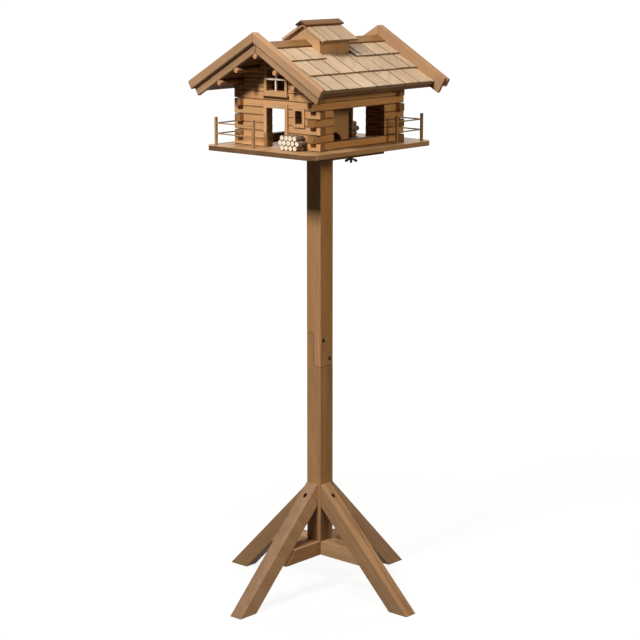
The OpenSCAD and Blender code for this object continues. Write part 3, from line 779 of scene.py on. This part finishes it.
def little_log(bm, layer, centre, inner, outer):
    """A birch log along Y, a bit out of round, with chamfered ends."""
    toward = 1 if outer > inner else -1
    phase = rng.uniform(0, math.tau)
    lobe = rng.uniform(0.0, 0.05)
    reach = outer - toward * rng.uniform(0.0, 2.0) * MM
    tone = rng.random()
    rings = []
    for y, shrink in ((inner, 0.97), (inner + toward * FIREWOOD_BEVEL, 1.0),
                      (reach - toward * FIREWOOD_BEVEL, 1.0), (reach, 0.9)):
        ring = []
        for k in range(FIREWOOD_SIDES):
            t = math.tau * k / FIREWOOD_SIDES
            r = FIREWOOD_R * shrink * (1 - lobe + lobe * math.cos(2 * t + phase))
            ring.append(bm.verts.new(centre + Vector((r * math.cos(t), y, r * math.sin(t)))))
        rings.append(ring)
    for ring_a, ring_b in zip(rings, rings[1:]):
        for k in range(FIREWOOD_SIDES):
            j = (k + 1) % FIREWOOD_SIDES
            bm.faces.new((ring_a[k], ring_a[j], ring_b[j], ring_b[k])).smooth = True
    for ring in (rings[0], rings[-1]):
        face = bm.faces.new(ring)
        face.material_index = 1
        for loop in face.loops:
            offset = (loop.vert.co - centre) / (2 * FIREWOOD_R)
            loop[layer] = (0.5 + offset.x, 0.5 + offset.z, tone, 1.0)


def firewood_stack(end):
    """Thirteen little birch logs, four, five and four."""
    low, high, extent = size(f"{end}_firewood")
    pitch = (extent.x - 2 * FIREWOOD_CELL) / (max(FIREWOOD_ROWS) - 1)
    rise = pitch * math.sqrt(3) / 2
    middle = (low.x + high.x) / 2
    inner, outer = (low.y, high.y) if end == "back" else (high.y, low.y)
    bm = bmesh.new()
    layer = bm.loops.layers.float_color.new("end")
    for row, logs in enumerate(FIREWOOD_ROWS):
        for i in range(logs):
            x = middle + (i - (logs - 1) / 2) * pitch
            centre = Vector((x, 0, low.z + FIREWOOD_CELL + row * rise))
            little_log(bm, layer, centre, inner, outer)
    obj = new_object(f"firewood_{end}_logs", bm, MATS["birch_bark"])
    obj.data.materials.append(MATS["birch_end"])
    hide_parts(f"{end}_firewood")
    finish_piece(obj, HOUSE)


# ---- Window bars ----

WINDOW_HALF_W = 29 * MM
WINDOW_H = 50 * MM
WINDOW_SILL = FLOOR_TOP + 7 * LOG_H + 3.5 * MM
# Height of the crossbar's middle above the sill
CROSSBAR_UP = 27 * MM
HALF_BAR = 2 * MM
# The bars stand out of the wall's face by one and go behind it by the other
BAR_OUT = 3 * MM
BAR_IN = 2 * MM


def bar(bm, layer, low, high):
    x0, y0, z0 = low
    x1, y1, z1 = high
    ring = [Vector((x0, y0, z0)), Vector((x1, y0, z0)), Vector((x1, y0, z1)), Vector((x0, y0, z1))]
    add_prism(bm, ring, [p + Vector((0, y1 - y0, 0)) for p in ring], random_tint(), layer)


def window_bars(end):
    """The pale cross in a gable window."""
    facing_y = -1 if end == "front" else 1
    y0, y1 = sorted((facing_y * (WALL_Y + BAR_OUT), facing_y * (WALL_Y - BAR_IN)))
    middle = WINDOW_SILL + CROSSBAR_UP
    bm = bmesh.new()
    layer = bm.loops.layers.float_color.new("tint")
    bar(bm, layer, (-HALF_BAR, y0, WINDOW_SILL), (HALF_BAR, y1, WINDOW_SILL + WINDOW_H))
    for x0, x1 in ((-WINDOW_HALF_W, -HALF_BAR), (HALF_BAR, WINDOW_HALF_W)):
        bar(bm, layer, (x0, y0, middle - HALF_BAR), (x1, y1, middle + HALF_BAR))
    obj = new_object(f"{end}_window_bars", bm, MATS["window_bar"])
    finish_piece(obj, HOUSE, 0.4 * MM)


# ---- Screws ----

SCREW_R = 4.35 * MM
SCREW_T = 1.6 * MM
SCREW_SIDES = 24
RECESS_DEPTH = 1.0 * MM


def screw(name, centre, direction):
    """A black screw head in its counterbore, with a round recess."""
    bm = bmesh.new()
    rings = []
    for r, h in ((SCREW_R * 0.55, -1.2 * MM), (SCREW_R, 0.0), (SCREW_R, SCREW_T * 0.4),
                 (SCREW_R * 0.8, SCREW_T)):
        angles = [math.tau * k / SCREW_SIDES for k in range(SCREW_SIDES)]
        rings.append([bm.verts.new((r * math.cos(t), r * math.sin(t), h)) for t in angles])
    for a, b in zip(rings, rings[1:]):
        for k in range(SCREW_SIDES):
            j = (k + 1) % SCREW_SIDES
            bm.faces.new((a[k], a[j], b[j], b[k]))
    bm.faces.new(rings[0])
    top = bm.faces.new(rings[-1])
    bmesh.ops.inset_individual(bm, faces=[top], thickness=SCREW_R * 0.45)
    bmesh.ops.translate(bm, verts=top.verts, vec=(0, 0, -RECESS_DEPTH))
    obj = new_object(name, bm, MATS["steel"])
    turn = Vector(direction).to_track_quat("Z", "Y").to_matrix().to_4x4()
    obj.data.transform(Matrix.Translation(centre) @ turn)
    finish_piece(obj, HOUSE)


def screws():
    """One screw in each leg, and two in the post's joint."""
    # The legs' faces slope at 45 degrees, so a step up is a step in
    seat = Vector((LEG_MIDDLE, LEG_LOW.y + LEG_SCREW_Z + LEG_HEAD_DEPTH, LEG_SCREW_Z))
    for turn, name in ((0, "front"), (90, "right"), (180, "back"), (270, "left")):
        spin = Matrix.Rotation(math.radians(turn), 3, "Z")
        screw(f"leg_screw_{name}", spin @ seat, spin @ Vector((0, -1, 0)))
    for i, (y, z) in enumerate(JOINT_SCREWS):
        screw(f"joint_screw_{i}", Vector((HALF_POST - POST_HEAD_DEPTH, y, z)), (1, 0, 0))


# ---- Stage, lights and camera ----

FLOOR_HALF = 60.0
FLOOR_DROP = 0.5 * MM
FLOOR_ALBEDO = 0.10
# The floor's glow near the feeder, its rise per metre beyond GLOW_START, and the most it rises
GLOW = 0.90
GLOW_START = 0.9
GLOW_SLOPE = 0.07
GLOW_RISE = 0.12
LIGHTS_TARGET = Vector((0, 0, 1.25))
DIM = 0.01


def stage():
    """A pale floor: white to the camera with the feeder's soft shadow, dim to the light it bounces."""
    bm = bmesh.new()
    corners = ((-1, -1), (1, -1), (1, 1), (-1, 1))
    bm.faces.new([bm.verts.new((x * FLOOR_HALF, y * FLOOR_HALF, 0.0)) for x, y in corners])
    nodes = Surface("floor_white")
    nodes.set(Base_Color=(FLOOR_ALBEDO, FLOOR_ALBEDO, FLOOR_ALBEDO, 1), Roughness=0.95,
              Specular_IOR_Level=0.1)
    x, y, _ = nodes.split(nodes.place())
    lift = nodes.scaled(nodes.hypot(x, y), GLOW_START, GLOW_SLOPE, 0.0)
    lift = nodes.math("MINIMUM", nodes.math("MAXIMUM", lift, 0.0), GLOW_RISE)
    glow = nodes.add("ShaderNodeEmission")
    nodes.put(glow.inputs["Strength"], nodes.math("ADD", lift, GLOW))
    both = nodes.add("ShaderNodeAddShader")
    nodes.link(nodes.shader.outputs[0], both.inputs[0])
    nodes.link(glow.outputs[0], both.inputs[1])
    seen = nodes.choose(nodes.seen_directly(), nodes.shader.outputs[0], both.outputs[0])
    nodes.link(seen, nodes.out.inputs[0])
    floor = new_object("studio_floor", bm, nodes.material)
    floor.location.z = -FLOOR_DROP


def away_from(azimuth, elevation):
    """Direction towards a light or the camera. Azimuth 0 is in front of the front gable."""
    a, e = math.radians(azimuth), math.radians(elevation)
    return Vector((math.sin(a) * math.cos(e), -math.cos(a) * math.cos(e), math.sin(e)))


def area_light(name, azimuth, elevation, distance, across, power, colour, spread):
    """A square soft light that faces the house."""
    offset = away_from(azimuth, elevation)
    data = bpy.data.lights.new(name, "AREA")
    data.shape = "SQUARE"
    data.size = across
    data.energy = power
    data.color = colour
    data.spread = math.radians(spread)
    obj = bpy.data.objects.new(name, data)
    obj.location = LIGHTS_TARGET + offset * distance
    obj.rotation_euler = offset.to_track_quat("Z", "Y").to_euler()
    bpy.context.scene.collection.objects.link(obj)


def background(nodes, colour, strength):
    node = nodes.add("ShaderNodeBackground")
    node.inputs["Color"].default_value = (*colour, 1)
    node.inputs["Strength"].default_value = strength
    return node.outputs[0]


def studio_world():
    """White to the camera, and almost dark to the surfaces."""
    world = bpy.data.worlds.new("studio")
    bpy.context.scene.world = world
    world.use_nodes = True
    nodes = Nodes(world.node_tree)
    out = nodes.add("ShaderNodeOutputWorld")
    dim = background(nodes, (1, 0.92, 0.8), DIM)
    white = background(nodes, (1, 1, 1), 1.0)
    nodes.link(nodes.choose(nodes.seen_directly(), dim, white), out.inputs[0])


def lights():
    area_light("key", 2, 37, 4.2, 0.6, 28.5, (1, 0.98, 0.95), 70)
    area_light("top", 30, 62, 3.8, 0.9, 86, (1, 0.98, 0.95), 180)
    area_light("fill", 93, 16, 4.5, 1.2, 15, (1, 0.80, 0.52), 80)
    area_light("back", 218, 24, 4.5, 1.2, 18, (1, 0.95, 0.88), 80)
    studio_world()


# Fitted to the photo's view
CAMERA_AZIMUTH = 41.78
CAMERA_PITCH = 11.73
CAMERA_DISTANCE = 4.5376
CAMERA_HEIGHT = 1.629
CAMERA_LENS = 106.58
CAMERA_SHIFT = 0.0002


def camera():
    data = bpy.data.cameras.new("camera")
    data.lens = CAMERA_LENS
    data.sensor_width = 36
    data.shift_x = CAMERA_SHIFT
    data.clip_end = 100
    obj = bpy.data.objects.new("camera", data)
    obj.location = away_from(CAMERA_AZIMUTH, 0) * CAMERA_DISTANCE + Vector((0, 0, CAMERA_HEIGHT))
    back = away_from(CAMERA_AZIMUTH, CAMERA_PITCH)
    obj.rotation_euler = back.to_track_quat("Z", "Y").to_euler()
    bpy.context.scene.collection.objects.link(obj)
    bpy.context.scene.camera = obj


camera()
lights()
stage()
dress_frame_nodes()
shingle_slope(1)
shingle_slope(-1)
lid_shingles()
lid_boards()
lid_cap()
for gable_end in ("front", "back"):
    firewood_stack(gable_end)
    window_bars(gable_end)
screws()

bpy.context.scene.view_settings.view_transform = "Standard"
